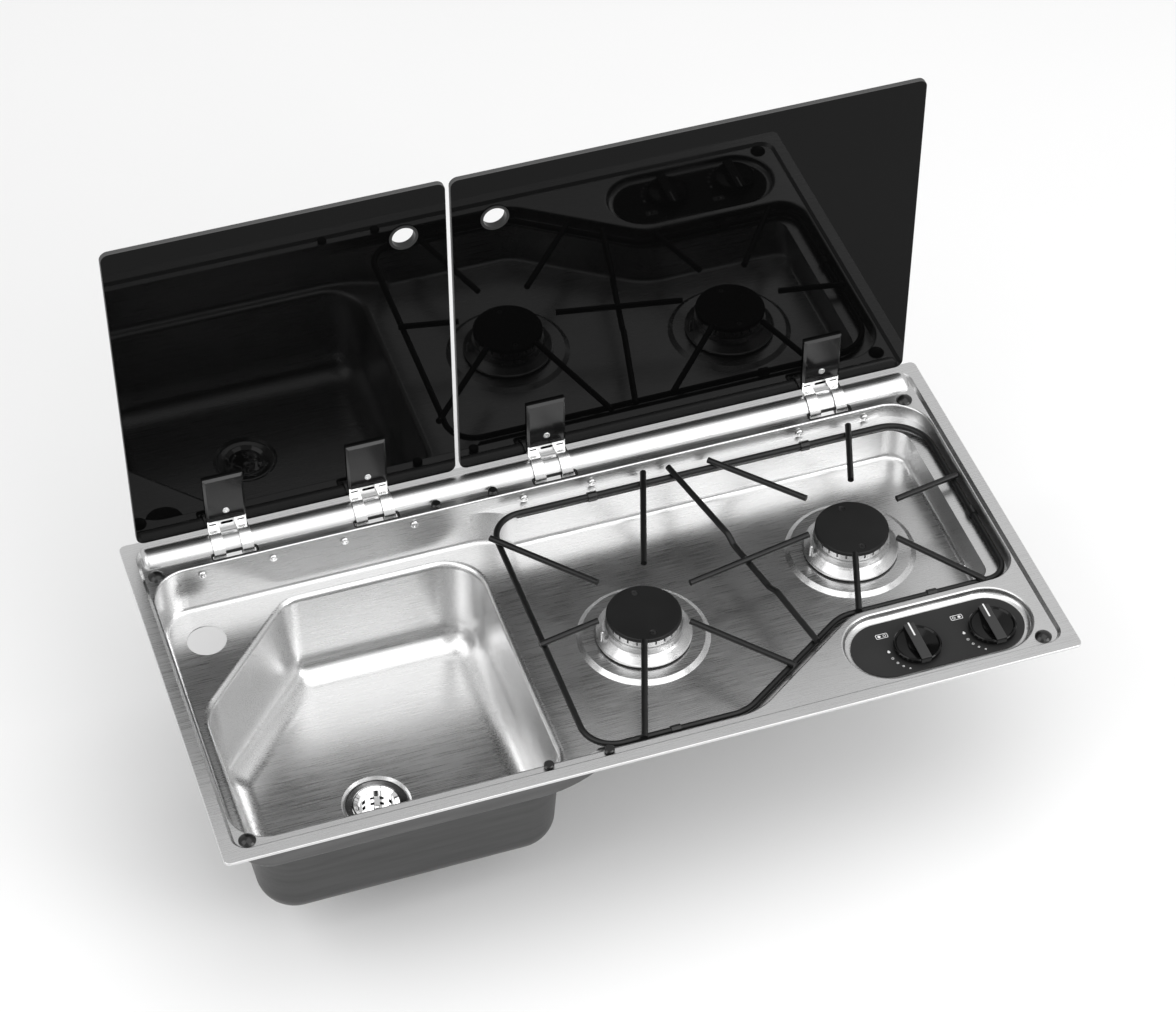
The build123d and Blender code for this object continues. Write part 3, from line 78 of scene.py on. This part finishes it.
# %% A number that varies over a surface
class Amount:
    """An output socket that takes part in sums."""

    def __init__(self, finish, socket):
        self.finish = finish
        self.socket = socket

    def sum(self, operation, other):
        return self.finish.add("ShaderNodeMath", {"operation": operation}, {0: self, 1: other})

    def __add__(self, other):
        return self.sum("ADD", other)

    def __mul__(self, other):
        return self.sum("MULTIPLY", other)

    __radd__ = __add__
    __rmul__ = __mul__


# %% A finish with its shader
class Finish:
    """A material with one Principled shader; constants go straight on the shader's sockets."""

    def __init__(self, name, colour, **constants):
        self.material = bpy.data.materials.new(name)
        self.material.use_nodes = True
        self.tree = self.material.node_tree
        self.shader = self.tree.nodes["Principled BSDF"]
        self.shader.inputs["Base Color"].default_value = (*colour, 1)
        for socket, value in constants.items():
            self.shader.inputs[socket.replace("_", " ")].default_value = value

    def add(self, kind, settings, inputs, output=0):
        """Any node: its options, then the values or links of its sockets."""
        node = self.tree.nodes.new(kind)
        for option, value in settings.items():
            setattr(node, option, value)
        for socket, value in inputs.items():
            if isinstance(value, Amount):
                self.tree.links.new(value.socket, node.inputs[socket])
            else:
                node.inputs[socket].default_value = value
        return Amount(self, node.outputs[output])

    def feed(self, socket, amount):
        self.tree.links.new(amount.socket, self.shader.inputs[socket])

    def along(self, output, axis):
        """One axis of the place ("Object") or the facing ("Normal") of each point."""
        vector = self.add("ShaderNodeTexCoord", {}, {}, output)
        return self.add("ShaderNodeSeparateXYZ", {}, {"Vector": vector}, axis)

    def noise(self, scale, detail=2.0, stretch=(1, 1, 1)):
        """Soft blotches, about 1 / scale metres wide; stretch draws them out into streaks."""
        where = self.add("ShaderNodeTexCoord", {}, {}, "Object")
        spread = self.add("ShaderNodeMapping", {}, {"Vector": where, "Scale": stretch})
        inputs = {"Vector": spread, "Scale": scale, "Detail": detail}
        return self.add("ShaderNodeTexNoise", {}, inputs)

    def ramp(self, amount, low, high, from_value, to_value):
        """Carries a span of an amount over to a span of values."""
        inputs = {"Value": amount, 1: low, 2: high, 3: from_value, 4: to_value}
        return self.add("ShaderNodeMapRange", {"clamp": True}, inputs)

    def blend(self, amount, dark, light):
        """Mixes two colours, each a triple or a socket, by an amount."""
        ends = [(*c, 1) if isinstance(c, tuple) else c for c in (dark, light)]
        inputs = {"Factor": amount, 6: ends[0], 7: ends[1]}
        return self.add("ShaderNodeMix", {"data_type": "RGBA"}, inputs, output=2)

    def tint(self, amount, dark, light):
        """Blends two colours into the base colour."""
        self.feed("Base Color", self.blend(amount, dark, light))

    def relief(self, height, distance, strength=1.0):
        """Small bumps, as deep as distance in metres."""
        inputs = {"Height": height, "Distance": distance, "Strength": strength}
        self.feed("Normal", self.add("ShaderNodeBump", {}, inputs))


# %% [markdown]
# ## Steel
# The deck is a pressed sheet of stainless steel with a fine grain from left to right, which spreads
# each highlight. The grain could be real grooves, but they are only a few thousandths of a
# millimetre deep, so streaks of noise vary the roughness, the tone and a very shallow bump instead.
# Larger soft blotches stand for the wear of wiping, and keep a wide flat sheet from looking like
# plastic. Underneath, the steel was never polished, so there it is duller, and its colour is
# painted darker there as painted shade. The way a face points tells it apart, because every outer
# face of a drafted wall leans down a little.


# %% Grained steel
LEANS_DOWN = (-0.055, -0.02)
UNDERSIDE_ROUGHER = 0.12


def steel(name, tone, rough, grain, stretch, depth, blotch=0.05, painted_underside_tone=None):
    """Steel with a grain along the axis with the smallest stretch, and a duller underside with
    painted shade.
    """
    finish = Finish(name, (tone, tone, tone), Metallic=1.0, Roughness=rough)
    streaks = finish.noise(grain, 3.0, stretch)
    wiped = finish.noise(11.0, 3.0)
    shade = finish.ramp(streaks, 0.3, 0.7, 0.0, 1.0) * 0.5 + wiped * 0.5
    colour = finish.blend(shade, (tone * (1 - blotch),) * 3, (min(1.0, tone * (1 + blotch)),) * 3)
    gloss = finish.ramp(shade, 0.25, 0.75, rough * 0.8, rough * 1.25)
    # Painted shade: faces that lean down get a darker colour, streaked by the drawn grain, and a
    # rougher surface.
    if painted_underside_tone:
        painted_shade_below = finish.ramp(finish.along("Normal", 2), *LEANS_DOWN, 1.0, 0.0)
        drawn = finish.noise(140.0, 3.0, (0.08, 0.08, 1.0))
        shaded_drawn_colour = finish.blend(drawn, (painted_underside_tone * 0.75,) * 3, (painted_underside_tone * 1.35,) * 3)
        colour = finish.blend(painted_shade_below, colour, shaded_drawn_colour)
        gloss = gloss + painted_shade_below * UNDERSIDE_ROUGHER
    finish.feed("Base Color", colour)
    finish.feed("Roughness", gloss)
    finish.relief(streaks, depth)
    return finish


ALONG = (0.012, 1.0, 1.0)
finishes = {
    "deck_steel": steel("deck_steel", 0.68, 0.29, 2200, ALONG, 0.000003, painted_underside_tone=0.12),
    "bowl_steel": steel("bowl_steel", 0.70, 0.28, 2000, ALONG, 0.000003, painted_underside_tone=0.085),
    "hinge_steel": steel("hinge_steel", 0.86, 0.22, 2500, (1.0, 0.03, 0.03), 0.000002),
    "plated_steel": steel("plated_steel", 0.60, 0.36, 500, (1, 1, 1), 0.000006, 0.12),
    "gas_tube": steel("gas_tube", 0.66, 0.32, 700, (1, 1, 1), 0.000006, 0.08),
    "tap_alloy": steel("tap_alloy", 0.55, 0.45, 600, (1, 1, 1), 0.00002, 0.12),
    "burner_alloy": steel("burner_alloy", 0.60, 0.30, 1500, (1, 1, 0.1), 0.000004, 0.06),
    "probe_steel": steel("probe_steel", 0.66, 0.24, 900, (1, 1, 0.1), 0.000004),
}
print("grained metals:", len(finishes))

# %% [markdown]
# Other metal is polished: the drain's flange and strainer, the pins and screws, and the brass
# holders of the injectors. It has no grain, only faint wipe marks. The screws in the burner caps
# are painted dark, as painted shade of their countersunk holes.


# %% Polished metals
def polished(name, colour, rough):
    """Bright metal with only faint wipe marks."""
    finish = Finish(name, colour, Metallic=1.0, Roughness=rough)
    wiped = finish.noise(60.0, 3.0)
    finish.tint(wiped, tuple(c * 0.93 for c in colour), colour)
    finish.feed("Roughness", finish.ramp(wiped, 0.3, 0.7, rough * 0.7, rough * 1.6))
    return finish


finishes["polished_steel"] = polished("polished_steel", (0.84, 0.84, 0.84), 0.10)
finishes["mirror_steel"] = polished("mirror_steel", (0.88, 0.88, 0.88), 0.05)
finishes["bright_screw"] = polished("bright_screw", (0.80, 0.80, 0.80), 0.14)
# Painted shade: the cap screws are coloured dark for the shade of their countersunk holes.
finishes["shaded_screw"] = polished("shaded_screw", (0.10, 0.10, 0.10), 0.30)
finishes["brass"] = polished("brass", (0.78, 0.58, 0.27), 0.22)
print("metals:", len(finishes))

# %% [markdown]
# ## Black pieces
# Almost everything else on the unit is black, and only the shine tells the pieces apart: the caps
# are matt enamel, the pan support is satin enamel, the knobs and hinge covers are gloss plastic,
# the bumpers are soft rubber and the lids are glass. Each gets its own roughness, a little
# unevenness, and a bump at the scale of its surface, such as the orange peel of enamel.


# %% Enamel, plastic and rubber
def black(name, tone, rough, grain, depth, vary=0.25, shine=0.5):
    """A dark finish with a fine uneven surface. Shine is how strongly a smooth face mirrors."""
    finish = Finish(name, (tone,) * 3, Roughness=rough, Specular_IOR_Level=shine)
    skin = finish.noise(grain, 3.0)
    broad = finish.noise(25.0, 2.0)
    finish.tint(skin * 0.5 + broad * 0.5, (tone * 0.8,) * 3, (tone * 1.4,) * 3)
    low, high = rough * (1 - vary), rough * (1 + vary)
    finish.feed("Roughness", finish.ramp(skin * 0.4 + broad * 0.6, 0.3, 0.7, low, high))
    finish.relief(skin, depth)
    return finish


finishes["matte_enamel"] = black("matte_enamel", 0.007, 0.50, 900, 0.00003, shine=0.25)
finishes["black_enamel"] = black("black_enamel", 0.006, 0.36, 500, 0.00003, shine=0.3)
finishes["panel_charcoal"] = black("panel_charcoal", 0.022, 0.42, 2500, 0.00001, shine=0.15)
finishes["cover_gloss"] = black("cover_gloss", 0.006, 0.10, 500, 0.000002, shine=0.4)
finishes["black_plastic"] = black("black_plastic", 0.012, 0.35, 1500, 0.00001, shine=0.4)
finishes["black_rubber"] = black("black_rubber", 0.008, 0.22, 800, 0.00001, shine=0.4)
finishes["black_seal"] = black("black_seal", 0.008, 0.80, 1500, 0.00005, shine=0.3)
print("with black pieces:", len(finishes))

# %% [markdown]
# The knobs are moulded in one piece, but the grip bar has a fine matt texture and is a little paler
# than the glossy dish around it. The height of a point decides between the two. The lids are cut
# from sheet glass: their faces mirror, while the ground edges are matt and paler.

# %% Knobs: gloss dish, matt bar
KNOB_TONE = 0.004
BAR_TONE = 0.040
KNOB_ROUGH = 0.12
BAR_LEVEL = (2.3 * MM, 2.5 * MM)
knob = Finish("knob_gloss", (KNOB_TONE,) * 3, Roughness=KNOB_ROUGH, Specular_IOR_Level=0.2)
bar = knob.ramp(knob.along("Object", 2), *BAR_LEVEL, 0.0, 1.0)
texture = knob.noise(2600.0, 2.0)
knob.tint(bar * texture + bar * 0.5, (KNOB_TONE,) * 3, (BAR_TONE,) * 3)
knob.feed("Roughness", KNOB_ROUGH + bar * 0.33)
knob.relief(bar * texture, 0.00002)
finishes["knob_gloss"] = knob
print("knob finish:", knob.material.name)

# %% Lids: mirror faces, ground edges
GLASS_TONE = 0.002
EDGE_TONE = 0.10
glass = Finish("black_glass", (GLASS_TONE,) * 3, Roughness=0.02, Specular_IOR_Level=0.10)
facing = glass.along("Normal", 1)
edge = glass.ramp(facing * facing, 0.5, 0.9, 1.0, 0.0)
ground = glass.noise(1800.0, 2.0)
smears = glass.noise(14.0, 3.0)
glass.tint(edge * (0.5 + ground * 0.5), (GLASS_TONE,) * 3, (EDGE_TONE,) * 3)
glass.feed("Roughness", edge * 0.35 + glass.ramp(smears, 0.4, 0.7, 0.01, 0.035))
glass.relief(edge * ground, 0.00003)
finishes["black_glass"] = glass
print("finishes:", len(finishes))

# %% [markdown]
# Each piece of the measured model names the finish it takes.

# %% Put each finish on its pieces
for part in frame["record"]["subparts"]:
    piece = frame["nodes"][part["node"]]
    # The cap screws take the dark finish that paints the shade of their countersunk holes.
    finish = "shaded_screw" if part["node"] == "cap_screws" else part["material_slot"]
    piece.data.materials.clear()
    piece.data.materials.append(finishes[finish].material)

# %% [markdown]
# ## Printing on the control panel
# White marks show which knob serves which burner, and where the flame is large or small. They are
# thin ink, so each starts as a flat face a little above the panel. The ring of a mark is an inset
# face whose middle is taken away, which keeps its line equally thick all round.

# %% White ink
ink = Finish("white_ink", (0.75, 0.75, 0.75), Roughness=0.45)
speckle = ink.noise(900.0, 2.0)
ink.tint(speckle, (0.66,) * 3, (0.82,) * 3)
INK = 0.04 * MM
PANEL_TOP = -6.5 * MM
KNOB_AXES = (0.2597, 0.3335)
KNOB_ROW = -0.1477


def finish_piece(name, shape, finish, body):
    """Makes the object of a piece from its bmesh, and gives it finish, slot and body."""
    bmesh.ops.recalc_face_normals(shape, faces=shape.faces)
    mesh = bpy.data.meshes.new(name)
    shape.to_mesh(mesh)
    shape.free()
    mesh.materials.append(finish.material)
    piece = bpy.data.objects.new(name, mesh)
    bpy.context.scene.collection.objects.link(piece)
    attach(piece, body)
    print(name, "faces:", len(mesh.polygons))


# %% Stamps: disc, ring, bar, flame
def stamp(shape, verts, x, y):
    """Moves a new mark to its place on the sheet of marks."""
    bmesh.ops.translate(shape, verts=verts, vec=(x, y, 0))


def hollow(shape, face, line):
    """Leaves only a line along the edge of a mark."""
    bmesh.ops.inset_individual(shape, faces=[face], thickness=line, use_even_offset=True)
    bmesh.ops.delete(shape, geom=[face], context="FACES_ONLY")


def disc(shape, x, y, radius, line=None):
    made = bmesh.ops.create_circle(shape, cap_ends=True, radius=radius, segments=28)["verts"]
    stamp(shape, made, x, y)
    if line:
        hollow(shape, made[0].link_faces[0], line)


def bar_mark(shape, x, y, width, height, corner, line=None):
    made = bmesh.ops.create_grid(shape, x_segments=1, y_segments=1, size=0.5)["verts"]
    bmesh.ops.scale(shape, verts=made, vec=(width, height, 1))
    rounded = bmesh.ops.bevel(
        shape, geom=made, offset=corner, affect="VERTICES", segments=5, profile=0.5, material=-1
    )
    face = max(rounded["verts"][0].link_faces, key=lambda f: f.calc_area())
    stamp(shape, face.verts, x, y)
    if line:
        hollow(shape, face, line)


def flame(shape, x, y, radius):
    """A disc whose upper half is drawn out to a tip."""
    made = bmesh.ops.create_circle(shape, cap_ends=True, radius=radius, segments=24)["verts"]
    for vert in made:
        rise = max(vert.co.y, 0) / radius
        vert.co.x *= 1 - 0.8 * rise * rise
        vert.co.y *= 1 + 0.7 * rise
    stamp(shape, made, x, y)


def print_on(shape, level):
    """Lifts the sheet of marks to its level and gives the ink its thickness."""
    grown = bmesh.ops.extrude_face_region(shape, geom=list(shape.faces))["geom"]
    tops = [part for part in grown if isinstance(part, bmesh.types.BMVert)]
    bmesh.ops.translate(shape, verts=tops, vec=(0, 0, INK))
    bmesh.ops.translate(shape, verts=shape.verts, vec=(0, 0, level))


# %% [markdown]
# Beside each knob a small hob plan has the knob's own burner filled in. Round the knob run a flame
# for the large setting and rings that shrink towards the small one.

# %% Marks on the panel
ICON = Vector((-25.3 * MM, 23.1 * MM))
ICON_SIZE = (11.6 * MM, 5.6 * MM)
BURNER_APART = 2.6 * MM
FLAME_ANGLE = 174
RING_ANGLES = {192: 1.25, 207: 1.15, 220.5: 1.0, 234.5: 0.85}
MARK_CIRCLE = 26.6 * MM
panel_marks = bmesh.new()


def beside_knob(axis, angle):
    """A place on the circle of marks round a knob."""
    turn = math.radians(angle)
    return axis + MARK_CIRCLE * math.cos(turn), KNOB_ROW + MARK_CIRCLE * math.sin(turn)


for burner, axis in enumerate(KNOB_AXES):
    x, y = axis + ICON.x, KNOB_ROW + ICON.y
    bar_mark(panel_marks, x, y, *ICON_SIZE, 1.2 * MM, 0.55 * MM)
    for side in (0, 1):
        line = None if side == burner else 0.5 * MM
        disc(panel_marks, x + (side * 2 - 1) * BURNER_APART, y, 1.5 * MM, line)
    flame(panel_marks, *beside_knob(axis, FLAME_ANGLE), 1.4 * MM)
    for angle, radius in RING_ANGLES.items():
        disc(panel_marks, *beside_knob(axis, angle), radius * MM, 0.4 * MM)
print_on(panel_marks, PANEL_TOP)
finish_piece("panel_marks", panel_marks, ink, HOB)

# %% [markdown]
# A white line on the rear half of each grip bar points at the marks. It rides on the knob, so it
# turns with it.

# %% Pointer lines
LINE_MIDDLE = 14.9 * MM
LINE_SIZE = (1.5 * MM, 16.4 * MM)
for side, axis in zip(("left", "right"), KNOB_AXES):
    pointer = bmesh.new()
    bar_mark(pointer, axis, KNOB_ROW + LINE_MIDDLE, *LINE_SIZE, 0.3 * MM)
    print_on(pointer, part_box(f"knob_{side}")[1].z)
    finish_piece(f"pointer_{side}", pointer, ink, f"{side}_knob")

# %% [markdown]
# ## Wires of the strainer
# Two thin wires arch out from the post over the mirror plate of the strainer. Each is a small
# circle, spun half a turn about a level line. Its outer end goes just into the plate, and its inner
# end into the foot of the post.

# %% Strainer wires
DRAIN = Vector((-0.229, -0.050))
WIRE = 0.75 * MM
ARCH = 6.4 * MM
ARCH_MIDDLE = 9.2 * MM
WIRE_ANGLES = (212, 318)
PLATE_SHEET = 1.0 * MM
plate_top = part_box("drain_strainer")[0].z + PLATE_SHEET
middle = Matrix.Translation((DRAIN.x, DRAIN.y, plate_top - WIRE / 2))
outwards = Matrix.Translation((ARCH_MIDDLE, 0, 0))
wires = bmesh.new()
for angle in WIRE_ANGLES:
    ring = bmesh.ops.create_circle(wires, radius=WIRE, segments=12)["verts"]
    bmesh.ops.translate(wires, verts=ring, vec=(ARCH, 0, 0))
    edges = list(dict.fromkeys(edge for vert in ring for edge in vert.link_edges))
    bmesh.ops.spin(
        wires,
        geom=ring + edges,
        cent=(0, 0, 0),
        axis=(0, -1, 0),
        angle=math.pi,
        steps=24,
        use_merge=False,
    )
    grown = [vert for vert in wires.verts if not vert.tag]
    place = middle @ Matrix.Rotation(math.radians(angle), 4, "Z") @ outwards
    bmesh.ops.transform(wires, matrix=place, verts=grown)
    for vert in grown:
        vert.tag = True
bmesh.ops.holes_fill(wires, edges=wires.edges, sides=0)
for face in wires.faces:
    face.smooth = len(face.verts) == 4
finish_piece("strainer_wires", wires, finishes["mirror_steel"], "strainer")

# %% [markdown]
# ## Floor, light and camera
# The unit is photographed from above, in front and a little left, with a long lens, on white. The
# floor lies just under the waste, the lowest piece. Large soft lights stand round the unit, because
# polished metal shows whatever surrounds it.

# %% Floor
FLOOR_GAP = 1.0 * MM
FLOOR_HALF = 9.0
floor_mesh = bpy.data.meshes.new("floor")
sheet = bmesh.new()
bmesh.ops.create_grid(sheet, x_segments=1, y_segments=1, size=FLOOR_HALF)
bmesh.ops.translate(sheet, verts=sheet.verts, vec=(0, 0, cad_box[0].z - FLOOR_GAP))
sheet.to_mesh(floor_mesh)
sheet.free()
floor = bpy.data.objects.new("floor", floor_mesh)
bpy.context.scene.collection.objects.link(floor)
pale = Finish("pale_floor", (0.86, 0.86, 0.86), Roughness=0.9)
cloudy = pale.noise(3.0, 2.0)
pale.tint(cloudy, (0.85, 0.85, 0.85), (0.87, 0.87, 0.87))
floor_mesh.materials.append(pale.material)
print("floor at:", round(cad_box[0].z - FLOOR_GAP, 3))

# %% Soft lights
world = bpy.data.worlds.new("studio")
world.use_nodes = True
background = world.node_tree.nodes["Background"]
background.inputs["Color"].default_value = (1, 1, 1, 1)
background.inputs["Strength"].default_value = 0.70
bpy.context.scene.world = world


def softbox(name, place, width, height, brightness):
    """A large lamp that faces the unit. Its power follows from how bright its face is."""
    data = bpy.data.lights.new(name, "AREA")
    data.shape = "RECTANGLE"
    data.size = width
    data.size_y = height
    data.energy = brightness * math.pi * width * height
    lamp = bpy.data.objects.new(name, data)
    lamp.location = place
    lamp.rotation_mode = "QUATERNION"
    lamp.rotation_quaternion = (-Vector(place)).to_track_quat("-Z", "Y")
    bpy.context.scene.collection.objects.link(lamp)
    print("lamp:", name, round(data.energy, 1), "W")


softbox("top", (0.5, -0.6, 3.0), 3.4, 3.0, 1.25)
softbox("key", (-2.0, -0.4, 2.0), 2.0, 1.8, 1.9)
softbox("front", (0.66, -2.2, 2.0), 1.6, 1.0, 1.6)
softbox("fill", (1.9, -1.9, 1.3), 1.6, 1.2, 4.6)

# %% [markdown]
# The camera's place comes from fitting the photo's straight edges. It is given as an azimuth from
# the front, an elevation and a distance, round a point on the unit.

# %% Camera
AZIMUTH = math.radians(-18.695)
ELEVATION = math.radians(45.033)
ROLL = math.radians(0.027)
DISTANCE = 3.21865
FOCAL_LENGTH = 104.49
SENSOR_WIDTH = 36.0
AIM = Vector((0.03259, 0.11372, 0.0))
away = Vector((
    math.sin(AZIMUTH) * math.cos(ELEVATION),
    -math.cos(AZIMUTH) * math.cos(ELEVATION),
    math.sin(ELEVATION),
))
lens = bpy.data.cameras.new("camera")
lens.lens = FOCAL_LENGTH
lens.sensor_width = SENSOR_WIDTH
camera = bpy.data.objects.new("camera", lens)
camera.location = AIM + away * DISTANCE
camera.rotation_mode = "QUATERNION"
look = (-away).to_track_quat("-Z", "Y")
camera.rotation_quaternion = look @ Matrix.Rotation(ROLL, 3, "Z").to_quaternion()
bpy.context.scene.collection.objects.link(camera)
bpy.context.scene.camera = camera
bpy.context.scene.view_settings.view_transform = "Standard"
print("camera at:", [round(v, 3) for v in camera.location])
